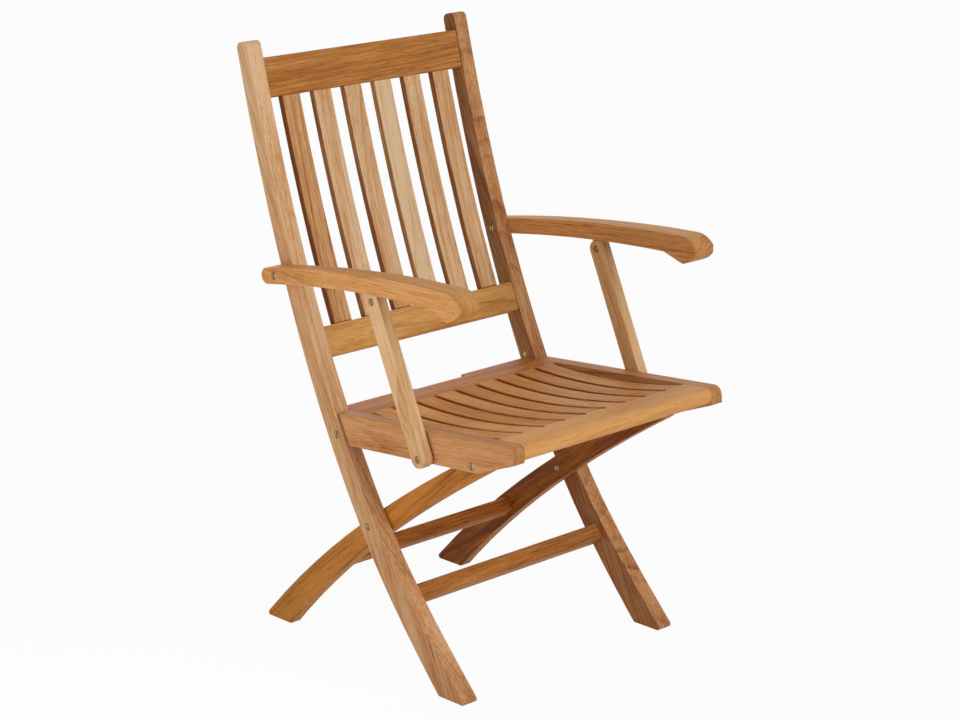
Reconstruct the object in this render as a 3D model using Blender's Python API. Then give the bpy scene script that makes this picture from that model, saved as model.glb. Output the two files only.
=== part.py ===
"""A folding teak armchair with a slatted back and seat, held together by brass bolts.

Lengths are in metres and angles in degrees. X runs to the sitter's left, Y to the back and Z up from
the floor, and the origin is on the floor under the middle of the chair. Most pieces are drawn in side
view, as two-part vectors that hold (y, z), and are carried across in layers along X: the rear legs are
the inner layer, the stiles and the seat's side rails the middle one, the arms and struts the outer one.
The back frame stands still. The other pieces hang from empties on their hinges: the legs turn on the
scissor bolts, the arms on the stiles, the struts under the arms, and the seat on the feet of the struts.
"""
import math

import bmesh
import bpy
from mathutils import Matrix, Vector

# Clearances and fineness
GAP = 0.0003
OVERRUN = 0.002
MERGE_DISTANCE = 0.00001
ROUND_STEPS = 16
ARC_STEPS = 6
CURVE_STEPS = 12
ROUND_PROFILE_SHARE = 0.5

# Layers across the chair
FRAME_WIDTH = 0.447
STILE_THICK = 0.0266
SEAT_RAIL_INSET = 0.003
SEAT_RAIL_THICK = 0.024
LEG_SPACE = 0.002
LEG_THICK = 0.020
ARM_THICK = 0.0292
STRUT_THICK = 0.0185

# Pivots in side view, with reaches measured from the scissor bolt
SCISSOR_BACK = 0.00988
SCISSOR_HEIGHT = 0.2236
ARM_HINGE_HEIGHT = 0.5801
SEAT_BOLT_REACH = 0.217
SEAT_BOLT_HEIGHT = 0.3681

# Stiles: front feet, curved up to the ears at the top of the back
CURVE_HANDLE_SHARE = 1 / 3
STILE_FOOT_REACH = 0.1800
STILE_FOOT_LEAN = 42.7
STILE_SCISSOR_LEAN = 31.9
STILE_TOP_REACH = 0.2697
STILE_TOP_HEIGHT = 0.9131
STILE_TOP_LEAN = 13.6
STILE_FOOT_DEPTH = 0.044
STILE_SCISSOR_DEPTH = 0.035
STILE_ARM_DEPTH = 0.0285
STILE_TOP_DEPTH = 0.025
EAR_RADIUS = 0.009
FOOT_CORNER_RADIUS = 0.0045

# Rear legs: rear feet, curved up to the seat bolts
LEG_FOOT_REACH = 0.2490
LEG_FOOT_LEAN = 42.3
LEG_TOP_LEAN = 58.9
LEG_FOOT_DEPTH = 0.0445
LEG_SCISSOR_DEPTH = 0.0355
LEG_TOP_DEPTH = 0.030

# Back rails and slats. The lower rail stands part of the way up from the seat bolts to the arm hinges.
BACK_RAIL_THICK = 0.020
BACK_RAIL_SETBACK = 0.0015
BACK_RAIL_EDGE_RADIUS = 0.005
TOP_RAIL_DROP = 0.0559
TOP_RAIL_DEPTH = 0.060
LOWER_RAIL_RISE_SHARE = 0.5000
LOWER_RAIL_DEPTH = 0.0467
BACK_SLAT_COUNT = 6
BACK_SLAT_WIDTH = 0.0345
BACK_SLAT_THICK = 0.012
BACK_TONGUE_THICK = 0.006
BACK_TONGUE_LENGTH = 0.010

# Stretchers
FRONT_STRETCHER_HEIGHT = 0.1276
FRONT_STRETCHER_SIZE = 0.026
FRONT_STRETCHER_SETBACK = 0.003
REAR_STRETCHER_HEIGHT = 0.1316
REAR_STRETCHER_SIZE = 0.024

# Tenons: the shoulder round each one, and how far it enters
TENON_SHOULDER = 0.006
STILE_TENON = 0.018
LEG_TENON = 0.013
SEAT_TENON = 0.015

# Seat, in a frame on the seat bolts that slopes down to the back
SEAT_SLOPE = 4.54
SEAT_TOP = 0.039
SEAT_RAIL_DEPTH = 0.048
SEAT_FRONT = 0.084
SIDE_RAIL_NOSE_DEPTH = 0.026
SIDE_RAIL_NOSE_RADIUS = 0.014
SIDE_RAIL_TAPER = 0.073
SIDE_RAIL_END_GAP = 0.003
SIDE_RAIL_END_RADIUS = 0.006
FRONT_RAIL_WIDTH = 0.054
FRONT_RAIL_THICK = 0.025
FRONT_RAIL_NOSE_RADIUS = 0.010
SLAT_SPAN = 0.270
REAR_RAIL_WIDTH = 0.068
REAR_RAIL_THICK = 0.028
REAR_RAIL_CORNER_RADIUS = 0.010
REAR_TENON_START = 0.006
REAR_TENON_WIDTH = 0.018
REAR_TENON_THICK = 0.012
HANDHOLD_WIDTH = 0.110
HANDHOLD_DEPTH = 0.012
HANDHOLD_RADIUS = 0.008
SEAT_SLAT_COUNT = 9
SEAT_SLAT_WIDTH = 0.0343
SEAT_SLAT_THICK = 0.0125
SEAT_SLAT_DISH = 0.009
SEAT_TONGUE_THICK = 0.006
SEAT_TONGUE_LENGTH = 0.009

# Arms, measured forward from their hinge
ARM_RISE = 0.032
ARM_CREST = 0.400
ARM_TAIL_DEPTH = 0.0245
ARM_NOSE_DEPTH = 0.0295
ARM_TAIL = 0.016
ARM_LENGTH = 0.4098
ARM_BULGE = 0.0110
ARM_BULGE_LENGTH = 0.300
ARM_OUTER_CORNER_RADIUS = 0.004
ARM_INNER_CORNER_RADIUS = 0.006
SCROLL_LENGTH = 0.066
SCROLL_RADIUS = 0.010

# The corners of an arm's nose in side view, from the scroll below it to its top: how far back from the
# tip, how far above the centre line and how round, all as shares of the arm's depth there
NOSE_CORNER_SHARES = [
    (0.91, -0.95, 0.27),
    (0.35, -0.71, 1.00),
    (0.00, -0.32, 0.30),
    (0.00, -0.08, 0.30),
    (0.54, 0.50, 1.35),
]

# Struts, from under the arms to the side rails
STRUT_HEAD_REACH = 0.204
STRUT_FOOT_REACH = 0.0888
STRUT_DEPTH = 0.027
STRUT_HEAD_SPACE = 0.0004
STRUT_FOOT_RISE = 0.0034
TONGUE_PLATE_THICK = 0.003
TONGUE_PLATE_WIDTH = 0.018
TONGUE_PLATE_LET_IN = 0.012
TONGUE_PLATE_ROOM = 0.001

# The colours and finish of the wood and the fittings
STILE_COLOUR = (0.46, 0.22, 0.09)
LEG_COLOUR = (0.42, 0.19, 0.08)
ARM_COLOUR = (0.60, 0.31, 0.11)
STRUT_COLOUR = (0.64, 0.39, 0.18)
BACK_RAIL_COLOUR = (0.50, 0.25, 0.11)
BACK_SLAT_COLOUR = (0.60, 0.35, 0.17)
SIDE_RAIL_COLOUR = (0.48, 0.23, 0.13)
FRONT_RAIL_COLOUR = (0.66, 0.43, 0.20)
SEAT_SLAT_COLOUR = (0.64, 0.40, 0.19)
BRASS_COLOUR = (0.55, 0.38, 0.14)
TEAK_ROUGHNESS = 0.55
BRASS_ROUGHNESS = 0.35
SHARP_ANGLE = 40

# Bolts, sleeve nuts, washers, pegs and studs
HEAD_RADIUS = 0.00525
HEAD_THICK = 0.003
HEAD_CHAMFER = 0.0006
HEAD_SUNK = 0.0002
HEAD_POCKET_ROOM = 0.0005
SCREW_SLOT_WIDTH = 0.0014
SCREW_SLOT_DEPTH = 0.0012
SHANK_RADIUS = 0.003
BARREL_RADIUS = 0.00425
BOLT_END_COVER = 0.004
WASHER_RADIUS = 0.009
PEG_RADIUS = 0.0045
PEG_PROUD = 0.010
PEG_REACH = 0.2855
STUD_RADIUS = 0.004
STUD_PROUD = 0.0004
STUD_LENGTH = 0.012
STUD_REACH = 0.3085
STUD_ABOVE_SEAT = 0.0048

# The heights of the back rails
TOP_RAIL_HEIGHT = STILE_TOP_HEIGHT - TOP_RAIL_DROP
LOWER_RAIL_HEIGHT = SEAT_BOLT_HEIGHT + (ARM_HINGE_HEIGHT - SEAT_BOLT_HEIGHT) * LOWER_RAIL_RISE_SHARE

# The layers that follow from these sizes
SIDES = {"left": 1, "right": -1}
STILE_OUTER = FRAME_WIDTH / 2
STILE_INNER = STILE_OUTER - STILE_THICK
SIDE_RAIL_OUTER = STILE_OUTER - SEAT_RAIL_INSET
SIDE_RAIL_INNER = SIDE_RAIL_OUTER - SEAT_RAIL_THICK
LEG_OUTER = min(STILE_INNER, SIDE_RAIL_INNER) - LEG_SPACE
LEG_INNER = LEG_OUTER - LEG_THICK
ARM_INNER = STILE_OUTER + GAP
ARM_OUTER = ARM_INNER + ARM_THICK
STRUT_OUTER = ARM_INNER + STRUT_THICK
PLATE_MIDDLE = (ARM_INNER + STRUT_OUTER) / 2
HEAD_POCKET_RADIUS = HEAD_RADIUS + HEAD_POCKET_ROOM
HEAD_POCKET_DEPTH = HEAD_SUNK + HEAD_THICK + GAP
SHANK_BORE = SHANK_RADIUS + GAP
BARREL_BORE = BARREL_RADIUS + GAP


def heading(lean):
    """The side-view direction that leans back from upright by an angle."""
    angle = math.radians(lean)
    return Vector((math.sin(angle), math.cos(angle)))


def lean_of(direction):
    """How many degrees a side-view direction leans back from upright."""
    return math.degrees(math.atan2(direction.x, direction.y))


def turned_by(point, tilt):
    """A side-view point turned about the origin, from Y towards Z."""
    return Matrix.Rotation(math.radians(tilt), 2) @ point


def curve(start, start_lean, end, end_lean):
    """Places and directions along a smooth curve between two side-view points."""
    reach = (end - start).length * CURVE_HANDLE_SHARE
    first = start + heading(start_lean) * reach
    last = end - heading(end_lean) * reach
    stations = []
    for step in range(CURVE_STEPS + 1):
        t = step / CURVE_STEPS
        u = 1 - t
        point = start * u**3 + first * 3 * u * u * t + last * 3 * u * t * t + end * t**3
        slope = (first - start) * u * u + (last - first) * 2 * u * t + (end - last) * t * t
        stations.append((point, slope.normalized()))
    return stations


def at_height(stations, height):
    """The place and direction where a rising curve reaches a height."""
    for (low, low_way), (high, high_way) in zip(stations, stations[1:]):
        if height <= high.y:
            break
    share = (height - low.y) / (high.y - low.y)
    return low.lerp(high, share), low_way.lerp(high_way, share).normalized()


def depth_at(height, depths):
    """A member's depth at a height, from its depths at a few heights."""
    for (low, low_depth), (high, high_depth) in zip(depths, depths[1:]):
        if height <= high:
            break
    return low_depth + (high_depth - low_depth) * (height - low) / (high - low)


def forward_of(direction):
    """The direction square to a rising one that points to the front of the chair."""
    return Vector((-direction.y, direction.x))


def edges(stations, depths):
    """The front and back edges of a member whose centre line is given."""
    front = []
    back = []
    for point, direction in stations:
        half = forward_of(direction) * depth_at(point.y, depths) / 2
        front.append(point + half)
        back.append(point - half)
    return front, back


def rounded(corners):
    """An outline from (point, radius) corners, with an arc at each corner that has a radius."""
    outline = []
    for index, (point, radius) in enumerate(corners):
        if not radius:
            outline.append(point)
            continue
        before = (corners[index - 1][0] - point).normalized()
        after = (corners[(index + 1) % len(corners)][0] - point).normalized()
        half_angle = before.angle(after) / 2
        centre = point + (before + after).normalized() * radius / math.sin(half_angle)
        start = (point + before * radius / math.tan(half_angle) - centre).normalized()
        end = (point + after * radius / math.tan(half_angle) - centre).normalized()
        for step in range(ARC_STEPS + 1):
            outline.append(centre + start.slerp(end, step / ARC_STEPS) * radius)
    return outline


def sharp(points):
    """Corners without a radius."""
    return [(point, 0) for point in points]


def round_end(centre, direction, radius):
    """A half circle past the end of a member, from its front edge to its back edge."""
    points = []
    for step in range(2 * ARC_STEPS + 1):
        angle = math.pi * step / (2 * ARC_STEPS)
        across = forward_of(direction) * math.cos(angle)
        points.append(centre + (across + direction * math.sin(angle)) * radius)
    return points


def rectangle(low_y, high_y, low_z, high_z):
    """A rectangular side-view outline."""
    return [
        Vector((low_y, low_z)),
        Vector((high_y, low_z)),
        Vector((high_y, high_z)),
        Vector((low_y, high_z)),
    ]


def add_prism(bm, outline, start_x, end_x):
    """Carries a side-view outline across the chair as a closed body."""
    face = bm.faces.new([bm.verts.new((start_x, point.x, point.y)) for point in outline])
    pushed = bmesh.ops.extrude_face_region(bm, geom=[face])["geom"]
    moved = [item for item in pushed if isinstance(item, bmesh.types.BMVert)]
    bmesh.ops.translate(bm, vec=(end_x - start_x, 0, 0), verts=moved)


def add_plan_prism(bm, outline, low_z, high_z):
    """Carries an outline of (x, y) points upwards as a closed body."""
    face = bm.faces.new([bm.verts.new((point.x, point.y, low_z)) for point in outline])
    pushed = bmesh.ops.extrude_face_region(bm, geom=[face])["geom"]
    moved = [item for item in pushed if isinstance(item, bmesh.types.BMVert)]
    bmesh.ops.translate(bm, vec=(0, 0, high_z - low_z), verts=moved)


def add_turned(bm, profile, centre=Vector((0, 0))):
    """Turns a profile of (x, radius) points round a line along X."""
    points = [bm.verts.new((x, centre.x, centre.y + radius)) for x, radius in profile]
    lines = [bm.edges.new(pair) for pair in zip(points, points[1:])]
    if profile[0][1] and profile[-1][1]:
        lines.append(bm.edges.new((points[-1], points[0])))
    bmesh.ops.spin(
        bm, geom=points + lines, cent=(0, centre.x, centre.y), axis=(1, 0, 0), dvec=(0, 0, 0),
        angle=2 * math.pi, steps=ROUND_STEPS, use_merge=True,
    )
    bmesh.ops.remove_doubles(bm, verts=bm.verts, dist=MERGE_DISTANCE)


def mesh_of(name, bm, side=1, smooth=False):
    """Finishes a mesh, mirrored for the right side of the chair."""
    bmesh.ops.scale(bm, vec=(side, 1, 1), verts=bm.verts)
    bmesh.ops.recalc_face_normals(bm, faces=bm.faces)
    mesh = bpy.data.meshes.new(name)
    bm.to_mesh(mesh)
    bm.free()
    if smooth:
        mesh.shade_smooth()
        mesh.set_sharp_from_angle(angle=math.radians(SHARP_ANGLE))
    return mesh


def empty(name, place, tilt=0, parent=None):
    """An empty in side view that carries pieces: a hinge, or the frame that a rail lies in."""
    marker = bpy.data.objects.new(name, None)
    bpy.context.scene.collection.objects.link(marker)
    marker.parent = parent
    marker.location = (0, place.x, place.y)
    marker.rotation_euler = (math.radians(tilt), 0, 0)
    return marker


def piece(name, bm, finish, parent, side=1, smooth=False):
    """A sub-part of the chair, in its own finish."""
    item = bpy.data.objects.new(name, mesh_of(name, bm, side, smooth))
    bpy.context.scene.collection.objects.link(item)
    item.parent = parent
    item.data.materials.append(finish)
    return item


def wooden(name, bm, colour, parent, side=1):
    """A sub-part of oiled teak."""
    return piece(name, bm, material(f"{name}_teak", colour, TEAK_ROUGHNESS), parent, side)


def turned(name, bm, parent, side):
    """A sub-part of turned brass."""
    finish = material(f"{name}_brass", BRASS_COLOUR, BRASS_ROUGHNESS, metallic=1)
    return piece(name, bm, finish, parent, side, smooth=True)


def combine(item, operation, bm, parent, side=1):
    """Cuts a shape out of a piece, joins it on or keeps what they share."""
    name = f"{item.name}_{operation.lower()}_{len(item.modifiers)}"
    tool = bpy.data.objects.new(name, mesh_of(name, bm, side))
    bpy.context.scene.collection.objects.link(tool)
    tool.parent = parent
    tool.hide_render = True
    tool.display_type = "WIRE"
    modifier = item.modifiers.new(name, "BOOLEAN")
    modifier.operation = operation
    modifier.solver = "EXACT"
    modifier.object = tool


def material(name, colour, roughness, metallic=0):
    """A plain material of one colour."""
    made = bpy.data.materials.new(name)
    made.use_nodes = True
    shader = made.node_tree.nodes["Principled BSDF"]
    shader.inputs["Base Color"].default_value = (*colour, 1)
    shader.inputs["Roughness"].default_value = roughness
    shader.inputs["Metallic"].default_value = metallic
    return made


def grown(box, room):
    """A rectangular outline pushed out on every side."""
    pushed = []
    for index, point in enumerate(box):
        from_before = (point - box[index - 1]).normalized()
        from_after = (point - box[(index + 1) % len(box)]).normalized()
        pushed.append(point + (from_before + from_after) * room)
    return pushed


def spread(count, width, clear_half):
    """The middles of equal strips across the chair, with equal gaps between them and at both ends."""
    space = (2 * clear_half - count * width) / (count + 1)
    return [-clear_half + space + width / 2 + index * (width + space) for index in range(count)], space


# The ends and depths of the curved members
SCISSOR = Vector((SCISSOR_BACK, SCISSOR_HEIGHT))
SEAT_BOLT = Vector((SCISSOR.x - SEAT_BOLT_REACH, SEAT_BOLT_HEIGHT))
STILE_FOOT = Vector((SCISSOR.x - STILE_FOOT_REACH, 0))
STILE_TOP = Vector((SCISSOR.x + STILE_TOP_REACH, STILE_TOP_HEIGHT))
LEG_FOOT = Vector((SCISSOR.x + LEG_FOOT_REACH, 0))
STILE_DEPTHS = [
    (0, STILE_FOOT_DEPTH),
    (SCISSOR_HEIGHT, STILE_SCISSOR_DEPTH),
    (ARM_HINGE_HEIGHT, STILE_ARM_DEPTH),
    (STILE_TOP_HEIGHT, STILE_TOP_DEPTH),
]
LEG_DEPTHS = [
    (0, LEG_FOOT_DEPTH),
    (SCISSOR_HEIGHT, LEG_SCISSOR_DEPTH),
    (SEAT_BOLT_HEIGHT, LEG_TOP_DEPTH),
]


def below_floor(stations, depth):
    """The same curve, run straight on below the floor by a member's depth."""
    foot, direction = stations[0]
    return [(foot - direction * depth, direction)] + stations


def stile_line():
    """The stile's centre line, from below the floor to the ear."""
    lower = curve(STILE_FOOT, STILE_FOOT_LEAN, SCISSOR, STILE_SCISSOR_LEAN)
    upper = curve(SCISSOR, STILE_SCISSOR_LEAN, STILE_TOP, STILE_TOP_LEAN)
    return below_floor(lower + upper[1:], STILE_FOOT_DEPTH)


def leg_line():
    """The rear leg's centre line, from below the floor to the seat bolt."""
    return below_floor(curve(LEG_FOOT, -LEG_FOOT_LEAN, SEAT_BOLT, -LEG_TOP_LEAN), LEG_FOOT_DEPTH)


def from_floor(edge):
    """A member's edge from the floor up."""
    above = [point for point in edge if point.y > 0]
    below = edge[len(edge) - len(above) - 1]
    share = below.y / (below.y - above[0].y)
    return [below.lerp(above[0], share)] + above


def in_seat_frame(point):
    """A side-view point of the chair as the seat's own frame has it."""
    return turned_by(point - SEAT_BOLT, SEAT_SLOPE)


def from_seat_frame(point):
    """A point of the seat's frame as the chair has it."""
    return SEAT_BOLT + turned_by(point, -SEAT_SLOPE)


def arm_line(forward):
    """The arm's centre line: its height over the hinge, at a distance forward of it."""
    return ARM_RISE * (1 - (1 - forward / ARM_CREST) ** 2)


def arm_depth(forward):
    """The arm's depth, which grows from the tail to the nose."""
    return depth_at(forward, [(-ARM_TAIL, ARM_TAIL_DEPTH), (ARM_LENGTH, ARM_NOSE_DEPTH)])


def arm_point(forward, half_share):
    """A side-view point of the arm in the frame of its hinge, at a share of the half depth over its line."""
    return Vector((-forward, arm_line(forward) + half_share * arm_depth(forward) / 2))


# Where the arms, the struts and the seat's pegs and studs come
ARM_HINGE, _ = at_height(stile_line(), ARM_HINGE_HEIGHT)
STRUT_HEAD = ARM_HINGE + arm_point(STRUT_HEAD_REACH, -1) - Vector((
    0, STRUT_DEPTH / 2 + STRUT_HEAD_SPACE + GAP,
))
STRUT_FOOT = from_seat_frame(Vector((
    STRUT_FOOT_REACH,
    SEAT_TOP - SEAT_RAIL_DEPTH + STRUT_DEPTH / 2 - STRUT_FOOT_RISE,
)))
PEG = from_seat_frame(Vector((PEG_REACH, SEAT_TOP - REAR_RAIL_THICK - GAP - PEG_RADIUS)))
STUD = from_seat_frame(Vector((STUD_REACH, SEAT_TOP + STUD_ABOVE_SEAT)))


def head_pocket(outer_x, inner_x, bore):
    """The profile of a hole for a bolt: a pocket for the head, and a bore behind it."""
    floor_x = outer_x - HEAD_POCKET_DEPTH
    return [
        (outer_x + OVERRUN, 0), (outer_x + OVERRUN, HEAD_POCKET_RADIUS), (floor_x, HEAD_POCKET_RADIUS),
        (floor_x, bore), (inner_x, bore), (inner_x, 0),
    ]


def nut_pocket(inner_x, outer_x):
    """The profile of a hole for a sleeve nut that is let in from the inner side."""
    floor_x = inner_x + HEAD_POCKET_DEPTH
    return [
        (inner_x - OVERRUN, 0), (inner_x - OVERRUN, HEAD_POCKET_RADIUS), (floor_x, HEAD_POCKET_RADIUS),
        (floor_x, BARREL_BORE), (outer_x, BARREL_BORE), (outer_x, 0),
    ]


def cut_screw_slot(item, face_x, way, parent, centre, side):
    """Cuts the slot in a head whose face looks along X in the given way."""
    bm = bmesh.new()
    half = SCREW_SLOT_WIDTH / 2
    length = HEAD_RADIUS + OVERRUN
    outline = rectangle(centre.x - half, centre.x + half, centre.y - length, centre.y + length)
    add_prism(bm, outline, face_x + way * OVERRUN, face_x - way * SCREW_SLOT_DEPTH)
    combine(item, "DIFFERENCE", bm, parent, side)


def bolt(name, surface_x, end_x, shank, parent, centre, side):
    """A slotted bolt let in from the outer side, with its head just below the surface."""
    face_x = surface_x - HEAD_SUNK
    back_x = face_x - HEAD_THICK
    bm = bmesh.new()
    add_turned(bm, [
        (face_x, 0), (face_x, HEAD_RADIUS - HEAD_CHAMFER), (face_x - HEAD_CHAMFER, HEAD_RADIUS),
        (back_x, HEAD_RADIUS), (back_x, shank), (end_x, shank), (end_x, 0),
    ], centre)
    cut_screw_slot(turned(name, bm, parent, side), face_x, 1, parent, centre, side)


def sleeve_nut(name, surface_x, end_x, parent, centre, side):
    """A slotted sleeve nut let in from the inner side, whose barrel takes the bolt's shank."""
    face_x = surface_x + HEAD_SUNK
    back_x = face_x + HEAD_THICK
    bm = bmesh.new()
    add_turned(bm, [
        (face_x, 0), (face_x, HEAD_RADIUS - HEAD_CHAMFER), (face_x + HEAD_CHAMFER, HEAD_RADIUS),
        (back_x, HEAD_RADIUS), (back_x, BARREL_RADIUS), (end_x, BARREL_RADIUS), (end_x, SHANK_BORE),
        (back_x, SHANK_BORE), (back_x, 0),
    ], centre)
    cut_screw_slot(turned(name, bm, parent, side), face_x, -1, parent, centre, side)


def washer(name, low_x, high_x, parent, centre, side):
    """A flat ring on a bolt, between two pieces that turn on each other."""
    bm = bmesh.new()
    add_turned(bm, [
        (low_x, SHANK_BORE), (low_x, WASHER_RADIUS), (high_x, WASHER_RADIUS), (high_x, SHANK_BORE),
    ], centre)
    turned(name, bm, parent, side)


def cross_rail(name, outline, tenon, half_length, tenon_length, colour, frame, bevel=None):
    """A rail across the chair with a tenon at each end, drawn in its own frame."""
    bm = bmesh.new()
    add_prism(bm, outline, GAP - half_length, half_length - GAP)
    if bevel:
        bevel(bm)
    item = wooden(name, bm, colour, frame)
    bm = bmesh.new()
    reach = half_length + tenon_length
    add_prism(bm, tenon, -reach, reach)
    combine(item, "UNION", bm, frame)
    return item


def cut_mortise(item, tenon, inner_x, tenon_length, frame, side):
    """Cuts the hole for a rail's tenon into the member that takes it."""
    bm = bmesh.new()
    add_prism(bm, grown(tenon, GAP), inner_x - OVERRUN, inner_x + tenon_length + GAP)
    combine(item, "DIFFERENCE", bm, frame, side)


def stile_offset(height, inset):
    """A place in the stile's depth: the given inset behind its front edge, at a height."""
    point, direction = at_height(stile_line(), height)
    forward = forward_of(direction)
    return point + forward * (depth_at(height, STILE_DEPTHS) / 2 - inset), direction


def back_rail_place(height):
    """The middle of a back rail, and the way it leans."""
    return stile_offset(height, BACK_RAIL_SETBACK + BACK_RAIL_THICK / 2)


def front_stretcher_place():
    """The middle of the front stretcher, near the back edge of the stiles."""
    depth = depth_at(FRONT_STRETCHER_HEIGHT, STILE_DEPTHS)
    return stile_offset(FRONT_STRETCHER_HEIGHT, depth - FRONT_STRETCHER_SETBACK - FRONT_STRETCHER_SIZE / 2)


def centred(thick, height):
    """A rectangle about the middle of a rail's frame."""
    return rectangle(-thick / 2, thick / 2, -height / 2, height / 2)


def tenon_outline(thick, height):
    """The tenon inside a rail's section, with the shoulder all round."""
    return centred(thick - 2 * TENON_SHOULDER, height - 2 * TENON_SHOULDER)


def back_rail_outline(height):
    """A back rail's section, with its lower front edge rounded."""
    low_front, *others = centred(BACK_RAIL_THICK, height)
    return rounded([(low_front, BACK_RAIL_EDGE_RADIUS)] + sharp(others))


def leaning_frame(name, place, direction, parent):
    """An empty that leans with the member a rail is fixed to."""
    return empty(name, place, -lean_of(direction), parent)


def make_stile(side_name, frame, rail_frames):
    """A stile: front foot, curved back post and ear in one, bored and mortised."""
    side = SIDES[side_name]
    front, back = [from_floor(edge) for edge in edges(stile_line(), STILE_DEPTHS)]
    ear = [(front[-1], EAR_RADIUS), (back[-1], EAR_RADIUS)]
    sole = [(back[0], FOOT_CORNER_RADIUS), (front[0], FOOT_CORNER_RADIUS)]
    bm = bmesh.new()
    add_prism(bm, rounded(sharp(front[1:-1]) + ear + sharp(back[-2:0:-1]) + sole), STILE_INNER, STILE_OUTER)
    item = wooden(f"{side_name}_stile", bm, STILE_COLOUR, frame, side)
    for rail_frame, tenon in rail_frames:
        cut_mortise(item, tenon, STILE_INNER, STILE_TENON, rail_frame, side)
    bm = bmesh.new()
    add_turned(bm, head_pocket(STILE_OUTER, STILE_INNER - OVERRUN, SHANK_BORE), SCISSOR)
    add_turned(bm, nut_pocket(STILE_INNER, STILE_OUTER + OVERRUN), ARM_HINGE)
    add_turned(bm, head_pocket(STILE_OUTER, STILE_INNER - OVERRUN, PEG_RADIUS + GAP), PEG)
    bore_end = STILE_INNER + STUD_LENGTH + GAP
    bore = STUD_RADIUS + GAP
    add_turned(bm, [
        (STILE_INNER - OVERRUN, 0), (STILE_INNER - OVERRUN, bore), (bore_end, bore), (bore_end, 0),
    ], STUD)
    combine(item, "DIFFERENCE", bm, frame, side)


def tongue_outline(end, direction, thick, length):
    """A slat's tongue, from the end of the slat along its direction."""
    half = forward_of(direction) * thick / 2
    tip = end + direction * length
    return [end + half, tip + half, tip - half, end - half]


def back_slat_ends():
    """The two ends of a back slat, just clear of the rails, each with its outward direction."""
    low_place, low_way = back_rail_place(LOWER_RAIL_HEIGHT)
    top_place, top_way = back_rail_place(TOP_RAIL_HEIGHT)
    low = low_place + low_way * (LOWER_RAIL_DEPTH / 2 + GAP)
    top = top_place - top_way * (TOP_RAIL_DEPTH / 2 + GAP)
    return (low, -low_way), (top, top_way)


def back_slat_outline():
    """A back slat in side view: it follows the stile's curve, with a tongue at each end."""
    (low, low_out), (top, top_out) = back_slat_ends()
    front = []
    back = []
    for step in range(CURVE_STEPS + 1):
        height = low.y + (top.y - low.y) * step / CURVE_STEPS
        point, direction = back_rail_place(height)
        half = forward_of(direction) * BACK_SLAT_THICK / 2
        front.append(point + half)
        back.append(point - half)
    low_tongue = tongue_outline(low, low_out, BACK_TONGUE_THICK, BACK_TONGUE_LENGTH)
    top_tongue = tongue_outline(top, top_out, BACK_TONGUE_THICK, BACK_TONGUE_LENGTH)
    return front + top_tongue + back[::-1] + low_tongue


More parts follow.
